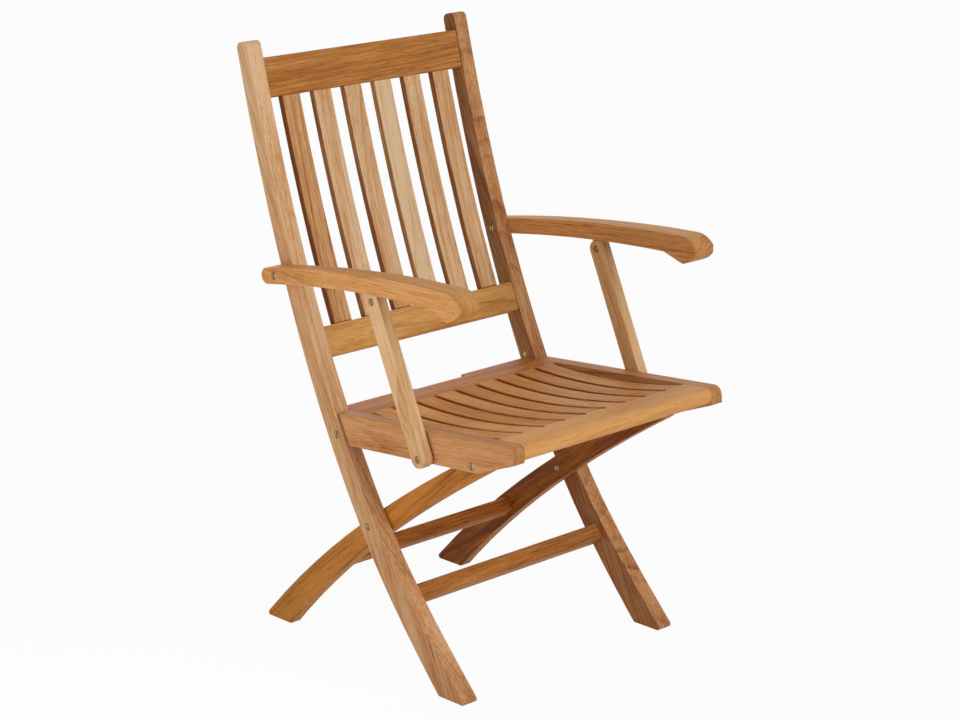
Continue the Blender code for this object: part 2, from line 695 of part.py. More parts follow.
def make_back(frame):
    """The still frame: stiles, rails, slats and front stretcher, with the bolts fixed in it."""
    top_place, top_way = back_rail_place(TOP_RAIL_HEIGHT)
    low_place, low_way = back_rail_place(LOWER_RAIL_HEIGHT)
    front_place, front_way = front_stretcher_place()
    top_frame = leaning_frame("top_rail_frame", top_place, top_way, frame)
    low_frame = leaning_frame("lower_back_rail_frame", low_place, low_way, frame)
    front_frame = leaning_frame("front_stretcher_frame", front_place, front_way, frame)
    top_tenon = tenon_outline(BACK_RAIL_THICK, TOP_RAIL_DEPTH)
    low_tenon = tenon_outline(BACK_RAIL_THICK, LOWER_RAIL_DEPTH)
    front_tenon = tenon_outline(FRONT_STRETCHER_SIZE, FRONT_STRETCHER_SIZE)
    rail_frames = [(top_frame, top_tenon), (low_frame, low_tenon), (front_frame, front_tenon)]
    for side_name in SIDES:
        make_stile(side_name, frame, rail_frames)
    top_rail = cross_rail("top_rail", back_rail_outline(TOP_RAIL_DEPTH), top_tenon, STILE_INNER, STILE_TENON,
                          BACK_RAIL_COLOUR, top_frame)
    low_rail = cross_rail("lower_back_rail", back_rail_outline(LOWER_RAIL_DEPTH), low_tenon, STILE_INNER,
                          STILE_TENON, BACK_RAIL_COLOUR, low_frame)
    stretcher = centred(FRONT_STRETCHER_SIZE, FRONT_STRETCHER_SIZE)
    cross_rail("front_stretcher", stretcher, front_tenon, STILE_INNER, STILE_TENON, BACK_RAIL_COLOUR,
               front_frame)
    middles, _ = spread(BACK_SLAT_COUNT, BACK_SLAT_WIDTH, STILE_INNER)
    half = BACK_SLAT_WIDTH / 2
    for number, middle in enumerate(middles, 1):
        bm = bmesh.new()
        add_prism(bm, back_slat_outline(), middle - half, middle + half)
        wooden(f"back_slat_{number}", bm, BACK_SLAT_COLOUR, frame)
    for rail, (end, way) in zip((low_rail, top_rail), back_slat_ends()):
        bm = bmesh.new()
        slot = tongue_outline(end - way * OVERRUN, way, BACK_TONGUE_THICK, BACK_TONGUE_LENGTH + OVERRUN)
        for middle in middles:
            add_prism(bm, grown(slot, GAP), middle - half - GAP, middle + half + GAP)
        combine(rail, "DIFFERENCE", bm, frame)
    for side_name, side in SIDES.items():
        nut_end = LEG_OUTER - GAP
        bolt(f"{side_name}_scissor_bolt", STILE_OUTER, LEG_INNER + HEAD_POCKET_DEPTH + GAP, SHANK_RADIUS,
             frame, SCISSOR, side)
        sleeve_nut(f"{side_name}_scissor_nut", LEG_INNER, nut_end, frame, SCISSOR, side)
        washer(f"{side_name}_scissor_washer", LEG_OUTER + GAP, STILE_INNER - GAP, frame, SCISSOR, side)
        bolt(f"{side_name}_arm_bolt", ARM_OUTER, STILE_INNER + HEAD_POCKET_DEPTH + GAP, SHANK_RADIUS, frame,
             ARM_HINGE, side)
        sleeve_nut(f"{side_name}_arm_nut", STILE_INNER, STILE_OUTER - GAP, frame, ARM_HINGE, side)
        bolt(f"{side_name}_seat_peg", STILE_OUTER, STILE_INNER - PEG_PROUD, PEG_RADIUS, frame, PEG, side)
        bm = bmesh.new()
        low_x = STILE_INNER - STUD_PROUD
        high_x = STILE_INNER + STUD_LENGTH
        add_turned(bm, [
            (low_x, 0), (low_x, STUD_RADIUS - STUD_PROUD), (low_x + STUD_PROUD, STUD_RADIUS),
            (high_x, STUD_RADIUS), (high_x, 0),
        ], STUD)
        turned(f"{side_name}_catch_stud", bm, frame, side)


def make_legs(hinge):
    """The rear legs and their stretcher, which turn together on the scissor bolts."""
    line = leg_line()
    place, direction = at_height(line, REAR_STRETCHER_HEIGHT)
    stretcher_frame = leaning_frame("rear_stretcher_frame", place - SCISSOR, direction, hinge)
    section = centred(REAR_STRETCHER_SIZE, REAR_STRETCHER_SIZE)
    tenon = tenon_outline(REAR_STRETCHER_SIZE, REAR_STRETCHER_SIZE)
    cross_rail("rear_stretcher", section, tenon, LEG_INNER, LEG_TENON, LEG_COLOUR, stretcher_frame)
    front, back = [from_floor(edge) for edge in edges(line, LEG_DEPTHS)]
    end, end_way = line[-1]
    top = round_end(end, end_way, LEG_TOP_DEPTH / 2)
    sole = [(back[0], FOOT_CORNER_RADIUS), (front[0], FOOT_CORNER_RADIUS)]
    outline = [point - SCISSOR for point in rounded(sharp(front[1:-1] + top + back[-2:0:-1]) + sole)]
    for side_name, side in SIDES.items():
        bm = bmesh.new()
        add_prism(bm, outline, LEG_INNER, LEG_OUTER)
        leg = wooden(f"{side_name}_leg", bm, LEG_COLOUR, hinge, side)
        cut_mortise(leg, tenon, LEG_INNER, LEG_TENON, stretcher_frame, side)
        bm = bmesh.new()
        add_turned(bm, nut_pocket(LEG_INNER, LEG_OUTER + OVERRUN))
        combine(leg, "DIFFERENCE", bm, hinge, side)


def side_rail_outline():
    """A side rail of the seat: deep at the back, tapered to the front, cut along the stile at its end."""
    bottom = SEAT_TOP - SEAT_RAIL_DEPTH
    low_end = side_rail_end(bottom)
    high_end = side_rail_end(SEAT_TOP)
    return rounded([
        (Vector((-SEAT_FRONT, SEAT_TOP)), SIDE_RAIL_NOSE_RADIUS),
        (Vector((-SEAT_FRONT, SEAT_TOP - SIDE_RAIL_NOSE_DEPTH)), 0),
        (Vector((SIDE_RAIL_TAPER - SEAT_FRONT, bottom)), 0),
        (low_end, SIDE_RAIL_END_RADIUS),
        (high_end, 0),
    ])


def side_rail_end(level):
    """Where a side rail stops, just short of the stile's front edge, at a level of the seat's frame."""
    height = SEAT_BOLT.y
    for _ in range(CURVE_STEPS):
        edge, _direction = stile_offset(height, -SIDE_RAIL_END_GAP)
        end = in_seat_frame(edge)
        height += level - end.y
    return Vector((end.x, level))


def seat_slat_outline():
    """A seat slat in side view: dished, with a level tongue at each end."""
    start = FRONT_RAIL_WIDTH - SEAT_FRONT + GAP
    length = SLAT_SPAN - 2 * GAP
    top = []
    bottom = []
    for step in range(CURVE_STEPS + 1):
        share = step / CURVE_STEPS
        level = SEAT_TOP - SEAT_SLAT_DISH * 4 * share * (1 - share)
        top.append(Vector((start + length * share, level)))
        bottom.append(Vector((start + length * share, level - SEAT_SLAT_THICK)))
    middle = SEAT_TOP - SEAT_SLAT_THICK / 2
    half = SEAT_TONGUE_THICK / 2
    finish = start + length
    rear = rectangle(finish, finish + SEAT_TONGUE_LENGTH, middle - half, middle + half)
    fore = rectangle(start - SEAT_TONGUE_LENGTH, start, middle - half, middle + half)
    return top + [rear[3], rear[2], rear[1], rear[0]] + bottom[::-1] + [fore[1], fore[0], fore[3], fore[2]]


def cut_slat_seats(rail, edge_y, way, frame):
    """Cuts a rail's edge for the slats: a mortise for each tongue, and a round end for each gap."""
    middles, space = spread(SEAT_SLAT_COUNT, SEAT_SLAT_WIDTH, SIDE_RAIL_INNER)
    half = SEAT_SLAT_WIDTH / 2 + GAP
    middle_z = SEAT_TOP - SEAT_SLAT_THICK / 2
    tongue = SEAT_TONGUE_THICK / 2 + GAP
    near = edge_y - way * OVERRUN
    far = edge_y + way * (SEAT_TONGUE_LENGTH + GAP)
    bm = bmesh.new()
    for middle in middles:
        outline = rectangle(min(near, far), max(near, far), middle_z - tongue, middle_z + tongue)
        add_prism(bm, outline, middle - half, middle + half)
    combine(rail, "DIFFERENCE", bm, frame)
    bm = bmesh.new()
    step = SEAT_SLAT_WIDTH + space
    for index in range(1, SEAT_SLAT_COUNT):
        gap_middle = middles[0] - step / 2 + index * step
        place = Matrix.Translation((gap_middle, edge_y, SEAT_TOP - SEAT_RAIL_DEPTH / 2))
        bmesh.ops.create_cone(
            bm, cap_ends=True, segments=ROUND_STEPS, radius1=space / 2, radius2=space / 2,
            depth=SEAT_RAIL_DEPTH + 2 * OVERRUN, matrix=place,
        )
    combine(rail, "DIFFERENCE", bm, frame)


def round_rear_corners(bm):
    """Rounds the two back corners of the rear rail in plan."""
    far = max(vert.co.y for vert in bm.verts)
    upright = [
        edge for edge in bm.edges
        if all(abs(vert.co.y - far) < MERGE_DISTANCE for vert in edge.verts)
        and abs(edge.verts[0].co.x - edge.verts[1].co.x) < MERGE_DISTANCE
    ]
    bmesh.ops.bevel(
        bm, geom=upright, affect="EDGES", offset=REAR_RAIL_CORNER_RADIUS, segments=ARC_STEPS,
        profile=ROUND_PROFILE_SHARE, material=-1,
    )


def cut_handhold(rail, back_y, frame):
    """Cuts the finger hold into the back edge of the rear rail."""
    half = HANDHOLD_WIDTH / 2
    corners = [
        (Vector((-half, back_y + OVERRUN)), 0),
        (Vector((half, back_y + OVERRUN)), 0),
        (Vector((half, back_y - HANDHOLD_DEPTH)), HANDHOLD_RADIUS),
        (Vector((-half, back_y - HANDHOLD_DEPTH)), HANDHOLD_RADIUS),
    ]
    bm = bmesh.new()
    add_plan_prism(bm, rounded(corners), SEAT_TOP - REAR_RAIL_THICK - OVERRUN, SEAT_TOP + OVERRUN)
    combine(rail, "DIFFERENCE", bm, frame)


def make_seat(hinge):
    """The seat, which rests on the pegs in the stiles and is bolted to the tops of the rear legs.

    The seat turns on the feet of the struts here, so its own bolts stop short of the legs, which swing
    a little past them while the chair folds.
    """
    front_y = -SEAT_FRONT
    slat_front_y = front_y + FRONT_RAIL_WIDTH
    slat_back_y = slat_front_y + SLAT_SPAN
    back_y = slat_back_y + REAR_RAIL_WIDTH
    front_low = SEAT_TOP - FRONT_RAIL_THICK
    front_outline = rounded([
        (Vector((front_y, SEAT_TOP)), FRONT_RAIL_NOSE_RADIUS),
        (Vector((front_y, front_low)), FRONT_RAIL_NOSE_RADIUS),
        (Vector((slat_front_y, front_low)), 0),
        (Vector((slat_front_y, SEAT_TOP)), 0),
    ])
    front_tenon = rectangle(front_y + 2 * TENON_SHOULDER, slat_front_y - 2 * TENON_SHOULDER,
                            front_low + TENON_SHOULDER, SEAT_TOP - TENON_SHOULDER)
    front_rail = cross_rail("seat_front_rail", front_outline, front_tenon, SIDE_RAIL_INNER, SEAT_TENON,
                            FRONT_RAIL_COLOUR, hinge)
    rear_low = SEAT_TOP - REAR_RAIL_THICK
    rear_middle = SEAT_TOP - REAR_RAIL_THICK / 2
    rear_outline = rectangle(slat_back_y, back_y, rear_low, SEAT_TOP)
    tenon_y = slat_back_y + REAR_TENON_START
    rear_tenon = rectangle(tenon_y, tenon_y + REAR_TENON_WIDTH, rear_middle - REAR_TENON_THICK / 2,
                           rear_middle + REAR_TENON_THICK / 2)
    rear_rail = cross_rail("seat_rear_rail", rear_outline, rear_tenon, SIDE_RAIL_INNER, SEAT_TENON,
                           SEAT_SLAT_COLOUR, hinge, round_rear_corners)
    cut_slat_seats(front_rail, slat_front_y, -1, hinge)
    cut_slat_seats(rear_rail, slat_back_y, 1, hinge)
    cut_handhold(rear_rail, back_y, hinge)
    for side_name, side in SIDES.items():
        bm = bmesh.new()
        add_prism(bm, side_rail_outline(), SIDE_RAIL_INNER, SIDE_RAIL_OUTER)
        rail = wooden(f"{side_name}_seat_rail", bm, SIDE_RAIL_COLOUR, hinge, side)
        cut_mortise(rail, front_tenon, SIDE_RAIL_INNER, SEAT_TENON, hinge, side)
        cut_mortise(rail, rear_tenon, SIDE_RAIL_INNER, SEAT_TENON, hinge, side)
        bm = bmesh.new()
        add_turned(bm, head_pocket(SIDE_RAIL_OUTER, SIDE_RAIL_INNER - OVERRUN, SHANK_BORE))
        bore_x = SIDE_RAIL_INNER + BOLT_END_COVER - GAP
        add_turned(bm, [
            (bore_x, 0), (bore_x, SHANK_BORE), (SIDE_RAIL_OUTER + OVERRUN, SHANK_BORE),
            (SIDE_RAIL_OUTER + OVERRUN, 0),
        ], in_seat_frame(STRUT_FOOT))
        combine(rail, "DIFFERENCE", bm, hinge, side)
        centre = Vector((0, 0))
        bolt(f"{side_name}_seat_bolt", SIDE_RAIL_OUTER, LEG_OUTER + GAP, SHANK_RADIUS, hinge, centre, side)
        washer(f"{side_name}_seat_washer", LEG_OUTER + GAP, SIDE_RAIL_INNER - GAP, hinge, centre, side)
    middles, _ = spread(SEAT_SLAT_COUNT, SEAT_SLAT_WIDTH, SIDE_RAIL_INNER)
    half = SEAT_SLAT_WIDTH / 2
    for number, middle in enumerate(middles, 1):
        bm = bmesh.new()
        add_prism(bm, seat_slat_outline(), middle - half, middle + half)
        wooden(f"seat_slat_{number}", bm, SEAT_SLAT_COLOUR, hinge)


def arm_outline():
    """An arm in side view: round at the back, rising to the crest, with a scroll under the nose."""
    top = []
    bottom = []
    scroll_start = ARM_LENGTH - SCROLL_LENGTH
    for step in range(1, CURVE_STEPS + 1):
        forward = (scroll_start + ARM_TAIL) * step / (CURVE_STEPS + 1) - ARM_TAIL
        top.append(arm_point(forward, 1))
        bottom.append(arm_point(forward, -1))
    tail = round_end(arm_point(-ARM_TAIL, 0), Vector((1, 0)), ARM_TAIL_DEPTH / 2)
    nose = [(arm_point(scroll_start, -1), SCROLL_RADIUS)]
    for back_share, above_share, radius_share in NOSE_CORNER_SHARES:
        offset = Vector((back_share, above_share)) * ARM_NOSE_DEPTH
        nose.append((arm_point(ARM_LENGTH, 0) + offset, radius_share * ARM_NOSE_DEPTH))
    return rounded(sharp(tail) + sharp(bottom) + nose + sharp(top[::-1]))


def ease(share):
    """A smooth step from 0 to 1."""
    share = min(max(share, 0), 1)
    return share * share * (3 - 2 * share)


def arm_plan():
    """An arm in plan, as (x, y) points: straight on its inner side, wider at the nose on its outer one."""
    outer = []
    rear = ARM_TAIL + ARM_TAIL_DEPTH
    stations = 2 * CURVE_STEPS
    for station in range(stations):
        forward = (ARM_LENGTH + rear) * station / stations - rear
        bulge = ARM_BULGE * ease(1 - (ARM_LENGTH - forward) / ARM_BULGE_LENGTH)
        outer.append(Vector((ARM_OUTER + bulge, -forward)))
    return rounded(
        sharp([Vector((ARM_INNER, rear))] + outer)
        + [(Vector((ARM_OUTER + ARM_BULGE, -ARM_LENGTH)), ARM_OUTER_CORNER_RADIUS)]
        + [(Vector((ARM_INNER, -ARM_LENGTH)), ARM_INNER_CORNER_RADIUS)]
    )


def make_arm(side_name, hinge):
    """An arm with the brass plate that carries the strut, let into it along the open strut's line."""
    side = SIDES[side_name]
    bm = bmesh.new()
    add_prism(bm, arm_outline(), ARM_INNER - OVERRUN, ARM_OUTER + ARM_BULGE + OVERRUN)
    arm = wooden(f"{side_name}_arm", bm, ARM_COLOUR, hinge, side)
    bm = bmesh.new()
    add_plan_prism(bm, arm_plan(), -ARM_LENGTH, ARM_LENGTH)
    combine(arm, "INTERSECT", bm, hinge, side)
    head = STRUT_HEAD - ARM_HINGE
    way = (STRUT_HEAD - STRUT_FOOT).normalized()
    half = forward_of(way) * TONGUE_PLATE_WIDTH / 2
    top = head + way * (STRUT_DEPTH / 2 + STRUT_HEAD_SPACE + TONGUE_PLATE_LET_IN)
    low_x = PLATE_MIDDLE - TONGUE_PLATE_THICK / 2
    high_x = PLATE_MIDDLE + TONGUE_PLATE_THICK / 2
    bm = bmesh.new()
    slot = [head - half, head + half, top + half, top - half]
    add_prism(bm, grown(slot, GAP), low_x - GAP, high_x + GAP)
    add_turned(bm, head_pocket(ARM_OUTER, ARM_INNER - OVERRUN, SHANK_BORE))
    combine(arm, "DIFFERENCE", bm, hinge, side)
    bm = bmesh.new()
    add_prism(bm, round_end(head, -way, half.length) + [top + half, top - half], low_x, high_x)
    plate = turned(f"{side_name}_arm_plate", bm, hinge, side)
    bm = bmesh.new()
    add_turned(bm, [
        (low_x - OVERRUN, 0), (low_x - OVERRUN, SHANK_BORE),
        (high_x + OVERRUN, SHANK_BORE), (high_x + OVERRUN, 0),
    ], head)
    combine(plate, "DIFFERENCE", bm, hinge, side)


def strut_head_outline(lean):
    """The head of a strut, from its front edge to its back edge, in the strut's own frame.

    In front it comes up square to the arm's underside. Behind it is round about the head bolt, because
    that side turns up under the arm when the chair folds.
    """
    half = STRUT_DEPTH / 2
    underside = arm_point(STRUT_HEAD_REACH, -1) - arm_point(STRUT_HEAD_REACH + half, -1)
    along = turned_by(underside.normalized(), lean)
    up = Vector((-along.y, along.x))
    corner_height = (half + half * up.x) / up.y
    outline = [Vector((-half, corner_height))]
    for step in range(2 * ARC_STEPS + 1):
        outline.append(up.slerp(Vector((1, 0)), step / (2 * ARC_STEPS)) * half)
    return outline


def make_strut(side_name, hinge, way):
    """A strut, forked over the arm's plate at its head and bolted beside the seat rail at its foot."""
    side = SIDES[side_name]
    half = STRUT_DEPTH / 2
    head = Vector((0, 0))
    foot = Vector((0, -way.length))
    outline = strut_head_outline(lean_of(way)) + round_end(foot, Vector((0, -1)), half)
    bm = bmesh.new()
    add_prism(bm, outline, ARM_INNER, STRUT_OUTER)
    strut = wooden(f"{side_name}_strut", bm, STRUT_COLOUR, hinge, side)
    fork_low = PLATE_MIDDLE - TONGUE_PLATE_THICK / 2 - GAP
    fork_high = PLATE_MIDDLE + TONGUE_PLATE_THICK / 2 + GAP
    fork_room = TONGUE_PLATE_WIDTH / 2 + TONGUE_PLATE_ROOM
    bm = bmesh.new()
    add_prism(bm, rectangle(-fork_room, half + OVERRUN, -fork_room, half + OVERRUN), fork_low, fork_high)
    combine(strut, "DIFFERENCE", bm, hinge, side)
    bm = bmesh.new()
    add_turned(bm, head_pocket(STRUT_OUTER, PLATE_MIDDLE, SHANK_BORE))
    combine(strut, "DIFFERENCE", bm, hinge, side)
    bm = bmesh.new()
    add_turned(bm, nut_pocket(ARM_INNER, PLATE_MIDDLE))
    combine(strut, "DIFFERENCE", bm, hinge, side)
    bm = bmesh.new()
    add_turned(bm, head_pocket(STRUT_OUTER, ARM_INNER - OVERRUN, SHANK_BORE), foot)
    combine(strut, "DIFFERENCE", bm, hinge, side)
    bolt(f"{side_name}_strut_head_bolt", STRUT_OUTER, ARM_INNER + HEAD_POCKET_DEPTH + GAP, SHANK_RADIUS,
         hinge, head, side)
    sleeve_nut(f"{side_name}_strut_head_nut", ARM_INNER, fork_low - GAP, hinge, head, side)
    bolt(f"{side_name}_strut_foot_bolt", STRUT_OUTER, SIDE_RAIL_INNER + BOLT_END_COVER, SHANK_RADIUS, hinge,
         foot, side)
    washer(f"{side_name}_strut_foot_washer", SIDE_RAIL_OUTER + GAP, ARM_INNER - GAP, hinge, foot, side)


def main():
    """Builds the chair open, as it stands in use."""
    for item in list(bpy.data.objects):
        bpy.data.objects.remove(item)
    back_frame = empty("back_frame", Vector((0, 0)))
    make_back(back_frame)
    make_legs(empty("rear_legs_hinge", SCISSOR, parent=back_frame))
    strut_way = STRUT_HEAD - STRUT_FOOT
    strut_hinges = {}
    for side_name in SIDES:
        arm_hinge = empty(f"{side_name}_arm_hinge", ARM_HINGE, parent=back_frame)
        make_arm(side_name, arm_hinge)
        strut_hinges[side_name] = empty(f"{side_name}_strut_hinge", STRUT_HEAD - ARM_HINGE, parent=arm_hinge)
        strut_frame = empty(f"{side_name}_strut_frame", Vector((0, 0)), -lean_of(strut_way),
                            strut_hinges[side_name])
        make_strut(side_name, strut_frame, strut_way)
    seat_hinge = empty("seat_hinge", STRUT_FOOT - STRUT_HEAD, parent=strut_hinges["left"])
    make_seat(empty("seat_frame", SEAT_BOLT - STRUT_FOOT, -SEAT_SLOPE, seat_hinge))


main()
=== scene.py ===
# %% [markdown]
# # A folding teak armchair
#
# The real chair is a garden chair of oiled teak with brass bolts. Two curved stiles carry the back and end
# as the front feet. The rear legs cross them like scissors, and the seat, arms and struts fold with them.
# The shapes and the folding were already worked out as solids. This lesson loads those solids as a fixed
# frame, gives every board its rounded arrises and its own grain, dulls the brass, and sets the chair in
# soft light.

# %% Load the frame
import math

import bmesh
import bpy
import numpy as np
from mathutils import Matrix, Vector


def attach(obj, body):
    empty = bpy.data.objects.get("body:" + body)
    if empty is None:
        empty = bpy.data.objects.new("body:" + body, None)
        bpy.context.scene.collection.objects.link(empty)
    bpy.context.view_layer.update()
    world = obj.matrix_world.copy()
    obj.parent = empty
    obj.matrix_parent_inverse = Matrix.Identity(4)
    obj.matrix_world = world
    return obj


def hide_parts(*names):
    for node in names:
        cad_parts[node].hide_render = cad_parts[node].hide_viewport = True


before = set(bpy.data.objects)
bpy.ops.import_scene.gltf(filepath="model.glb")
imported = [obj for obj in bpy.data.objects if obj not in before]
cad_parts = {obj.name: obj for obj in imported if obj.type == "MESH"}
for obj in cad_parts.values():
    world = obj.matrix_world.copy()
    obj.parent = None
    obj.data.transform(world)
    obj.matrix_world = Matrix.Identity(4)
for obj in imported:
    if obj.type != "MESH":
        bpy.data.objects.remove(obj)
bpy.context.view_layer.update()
scene = bpy.context.scene
scene.view_settings.view_transform = "Standard"

# %% [markdown]
# ## The camera
#
# A product photograph is taken with a long lens from a few metres away, so that parallel boards stay almost
# parallel. The place of the camera was worked out by matching the ends of the boards and the bolt heads in
# the photograph with the same corners of the solids. Only a place, two angles and a focal length are left
# to set here.

# %% Camera
CAMERA_PLACE = (-2.6117, -2.6948, 1.5089)
CAMERA_AZIMUTH = math.radians(-44.07)
CAMERA_ELEVATION = math.radians(15.93)
PICTURE_WIDTH_PIXELS = 960
FOCAL_PIXELS = 2584
SENSOR_MM = 36

camera = bpy.data.objects.new("Camera", bpy.data.cameras.new("Camera"))
scene.collection.objects.link(camera)
camera.location = CAMERA_PLACE
camera.rotation_euler = (math.pi / 2 - CAMERA_ELEVATION, 0, CAMERA_AZIMUTH)
camera.data.sensor_width = SENSOR_MM
camera.data.lens = SENSOR_MM * FOCAL_PIXELS / PICTURE_WIDTH_PIXELS
scene.camera = camera
print("Lens", round(camera.data.lens, 1), "mm")

# %% [markdown]
# ## Colours and nodes
#
# A colour picked from a picture is an sRGB hex value, but Blender's shaders count light, which is linear.
# One function turns the one into the other. A second one adds a shader node, sets it and links it, so that
# a material reads from top to bottom like a recipe.

# %% Helpers for materials


def linear(hex_colour):
    """The linear colour of an sRGB hex value such as #c1966b."""
    shares = [int(hex_colour[place : place + 2], 16) / 255 for place in (1, 3, 5)]
    return [s / 12.92 if s <= 0.04045 else ((s + 0.055) / 1.055) ** 2.4 for s in shares] + [1.0]


def add(tree, kind, settings=None, sockets=None):
    """A new shader node. A socket is given a value, an output, or a node whose first output is linked."""
    node = tree.nodes.new(kind)
    for name, value in (settings or {}).items():
        setattr(node, name, value)
    for name, value in (sockets or {}).items():
        if isinstance(value, bpy.types.Node):
            value = value.outputs[0]
        if isinstance(value, bpy.types.NodeSocket):
            tree.links.new(value, node.inputs[name])
        else:
            node.inputs[name].default_value = value
    return node


def new_material(name):
    """A node material and its Principled shader."""
    material = bpy.data.materials.new(name)
    material.use_nodes = True
    return material, material.node_tree.nodes["Principled BSDF"]


print("A mid teak brown is", [round(v, 3) for v in linear("#c1966b")])

# %% [markdown]
# ## The light
#
# The photograph is a studio shot with broad, soft light. A lamp in front lights the front and top faces, and
# a panel stands close to the chair's right side. Because the panel is close, its light falls off across the
# chair, so the boards on the far side come out darker, as in the photograph. A weak lamp behind is there for
# the views from the back. A sun lamp with a wide disc does the work of a large, distant panel.

# %% Lights


def soft_sun(name, azimuth, elevation, strength, width):
    """A sun lamp with a wide, soft disc. Azimuth 0 shines from the chair's front, 180 from its back."""
    lamp = bpy.data.objects.new(name, bpy.data.lights.new(name, "SUN"))
    lamp.data.energy = strength
    lamp.data.angle = math.radians(width)
    lamp.rotation_euler = (math.radians(90 - elevation), 0, math.radians(azimuth))
    scene.collection.objects.link(lamp)
    return lamp


PANEL_PLACE = (-1.1, -0.1, 0.75)
PANEL_SIZE = (0.8, 1.2)
PANEL_WATTS = 5.4

front_light = soft_sun("Front_light", azimuth=8, elevation=30, strength=1.70, width=50)
back_light = soft_sun("Back_light", azimuth=160, elevation=30, strength=0.7, width=60)
side_panel = bpy.data.objects.new("Side_panel", bpy.data.lights.new("Side_panel", "AREA"))
side_panel.data.shape = "RECTANGLE"
side_panel.data.size, side_panel.data.size_y = PANEL_SIZE
side_panel.data.energy = PANEL_WATTS
side_panel.location = PANEL_PLACE
side_panel.rotation_euler = (math.pi / 2, 0, -math.pi / 2)
scene.collection.objects.link(side_panel)
print("Two sun lamps and one panel")

# %% [markdown]
# ## The room and the floor
#
# The room gives a little light from everywhere, so that no shade is black. The camera, polished metal and
# glass see white instead of the room. The floor is matt white paper: the camera sees it mostly as bright as
# the backdrop, and the rest of it takes the chair's shadow.

# %% Room and floor
ROOM_STRENGTH = 0.12
FLOOR_WIDTH = 24.0
WHITE_SHARE = 0.94


def seen_directly(tree):
    """1 for camera, glossy and transmission rays, and 0 for the rays that light the wood."""
    path = add(tree, "ShaderNodeLightPath").outputs
    sockets = {0: path["Is Camera Ray"], 1: path["Is Glossy Ray"]}
    seen_or_mirrored = add(tree, "ShaderNodeMath", {"operation": "MAXIMUM"}, sockets)
    sockets = {0: seen_or_mirrored, 1: path["Is Transmission Ray"]}
    return add(tree, "ShaderNodeMath", {"operation": "MAXIMUM"}, sockets)


world = bpy.data.worlds.new("Studio")
world.use_nodes = True
scene.world = world
sky = world.node_tree
sky.nodes.clear()
room = add(sky, "ShaderNodeBackground", None, {"Color": linear("#ffffff"), "Strength": ROOM_STRENGTH})
backdrop = add(sky, "ShaderNodeBackground", None, {"Color": linear("#ffffff"), "Strength": 1.0})
both = add(sky, "ShaderNodeMixShader", None, {0: seen_directly(sky), 1: room, 2: backdrop})
add(sky, "ShaderNodeOutputWorld", None, {"Surface": both})

paper, paper_shader = new_material("Matt white paper")
tree = paper.node_tree
paper_shader.inputs["Base Color"].default_value = linear("#f6f5f2")
paper_shader.inputs["Roughness"].default_value = 0.9
glow = add(tree, "ShaderNodeEmission", None, {"Color": linear("#ffffff"), "Strength": 1.0})
glow_share = add(tree, "ShaderNodeMath", {"operation": "MULTIPLY"}, {0: seen_directly(tree), 1: WHITE_SHARE})
lit_paper = add(tree, "ShaderNodeMixShader", None, {0: glow_share, 1: paper_shader, 2: glow})
tree.links.new(lit_paper.outputs[0], tree.nodes["Material Output"].inputs["Surface"])

flat = bmesh.new()
bmesh.ops.create_grid(flat, x_segments=1, y_segments=1, size=FLOOR_WIDTH / 2)
floor_mesh = bpy.data.meshes.new("Floor")
flat.to_mesh(floor_mesh)
flat.free()
floor = bpy.data.objects.new("Floor", floor_mesh)
floor.data.materials.append(paper)
scene.collection.objects.link(floor)
print("Floor", FLOOR_WIDTH, "m wide")

# %% [markdown]
# ## Boards out of solids
#
# Each wooden piece was sawn from a straight plank, sanded, and eased along its edges, so its arrises catch
# the light as soft lines. A copy of the solid is welded, its flat faces are joined, and a bevel rounds the
# edges that a hand can reach. Tenons, mortises and bolt holes stay sharp, because the joiner leaves them so:
# they are the edges that touch an inner corner.

# %% Shape of a board
WELD = 0.00002
FLAT_ANGLE = math.radians(0.4)
EDGE_ANGLE = math.radians(35)
ARRIS_STEPS = 3
ARC_SHARE = 0.5
TRIAL_ARRIS = 0.003


def welded(node):
    """A bmesh copy of a solid, with its doubles merged and its flat faces joined."""
    shape = bmesh.new()
    shape.from_mesh(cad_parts[node].data)
    bmesh.ops.remove_doubles(shape, verts=shape.verts, dist=WELD)
    bmesh.ops.dissolve_limit(shape, angle_limit=FLAT_ANGLE, verts=shape.verts, edges=shape.edges)
    return shape


def is_corner(edge, inner=False):
    """True for a sharp outer edge, or with inner for a sharp inner one."""
    if len(edge.link_faces) != 2:
        return False
    angle = edge.calc_face_angle_signed()
    return angle < -EDGE_ANGLE if inner else angle > EDGE_ANGLE


def ease_arrises(shape, arris):
    """Rounds the outer edges between two faces that touch no inner corner. Returns the new faces."""
    cut_faces = {face for edge in shape.edges if is_corner(edge, inner=True) for face in edge.link_faces}
    corners = [edge for edge in shape.edges if is_corner(edge)]
    picked = [edge for edge in corners if not cut_faces.intersection(edge.link_faces)]
    eased = bmesh.ops.bevel(
        shape, geom=picked, offset=arris, offset_type="OFFSET", segments=ARRIS_STEPS, affect="EDGES",
        profile=ARC_SHARE, material=-1, clamp_overlap=True,
    )
    return set(eased["faces"])


trial = welded("right_arm")
print("The right arm has", len(trial.faces), "faces")
print("Its eased arrises add", len(ease_arrises(trial, TRIAL_ARRIS)), "faces")
trial.free()

